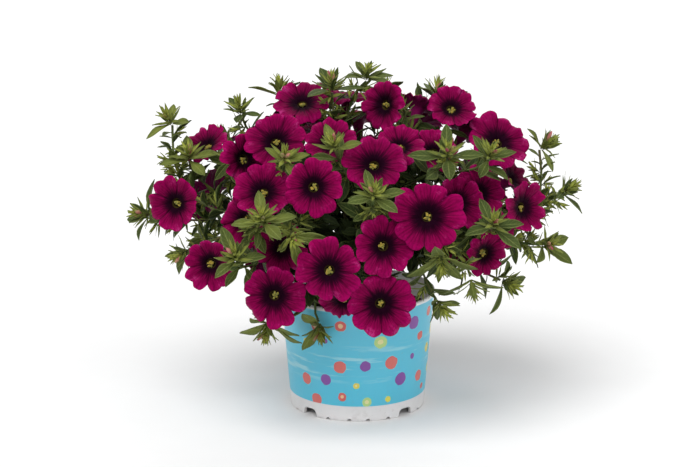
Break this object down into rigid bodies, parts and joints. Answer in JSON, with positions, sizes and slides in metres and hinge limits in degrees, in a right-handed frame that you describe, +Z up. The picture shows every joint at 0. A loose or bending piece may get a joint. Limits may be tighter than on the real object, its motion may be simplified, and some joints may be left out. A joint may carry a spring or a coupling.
{
  "type": "potted calibrachoa",
  "caption": "Mounded calibrachoa with trumpet blooms on leafy stems, standing in soil in a round moulded nursery pot with a dotted wall.",
  "frame": {"origin": "centre of the pot's foot, on the surface that it stands on", "axes": "+Z up along the pot's axis, -Y towards the side that faces the viewer in the picture, +X to that viewer's right"},
  "size_m": [0.3073, 0.2541, 0.2318],
  "materials": {
    "pot": "satin",
    "soil": "matte",
    "leaf": "matte",
    "petal": "matte"
  },
  "bodies": {
    "root": {"pot": "pot", "soil": "soil", "leafy_stem_01": "leaf", "leafy_stem_02": "leaf", "leafy_stem_03": "leaf", "leafy_stem_04": "leaf", "leafy_stem_05": "leaf", "leafy_stem_06": "leaf", "leafy_stem_07": "leaf", "leafy_stem_08": "leaf", "leafy_stem_09": "leaf", "leafy_stem_10": "leaf", "leafy_stem_11": "leaf", "leafy_stem_12": "leaf", "bloom_01": "petal", "bloom_02": "petal", "bloom_03": "petal", "bloom_04": "petal", "bloom_05": "petal", "bloom_06": "petal", "bloom_07": "petal", "bloom_08": "petal", "bloom_09": "petal", "bloom_10": "petal", "bloom_11": "petal", "bloom_12": "petal", "bloom_13": "petal", "bloom_14": "petal", "bloom_15": "petal", "bloom_16": "petal", "bloom_17": "petal", "bloom_18": "petal", "bloom_19": "petal", "bloom_20": "petal", "bloom_21": "petal", "bloom_22": "petal", "bloom_23": "petal", "bloom_24": "petal", "bloom_25": "petal", "bloom_26": "petal", "bloom_27": "petal", "bloom_28": "petal", "bloom_29": "petal", "bloom_30": "petal", "bloom_31": "petal", "bloom_32": "petal", "bloom_33": "petal", "bloom_34": "petal", "bloom_35": "petal", "bloom_36": "petal", "bloom_37": "petal", "bloom_38": "petal", "bloom_39": "petal", "bloom_40": "petal", "bloom_41": "petal", "bloom_42": "petal", "bloom_43": "petal", "bloom_44": "petal", "bloom_45": "petal", "bloom_46": "petal"}
  },
  "joints": []
}
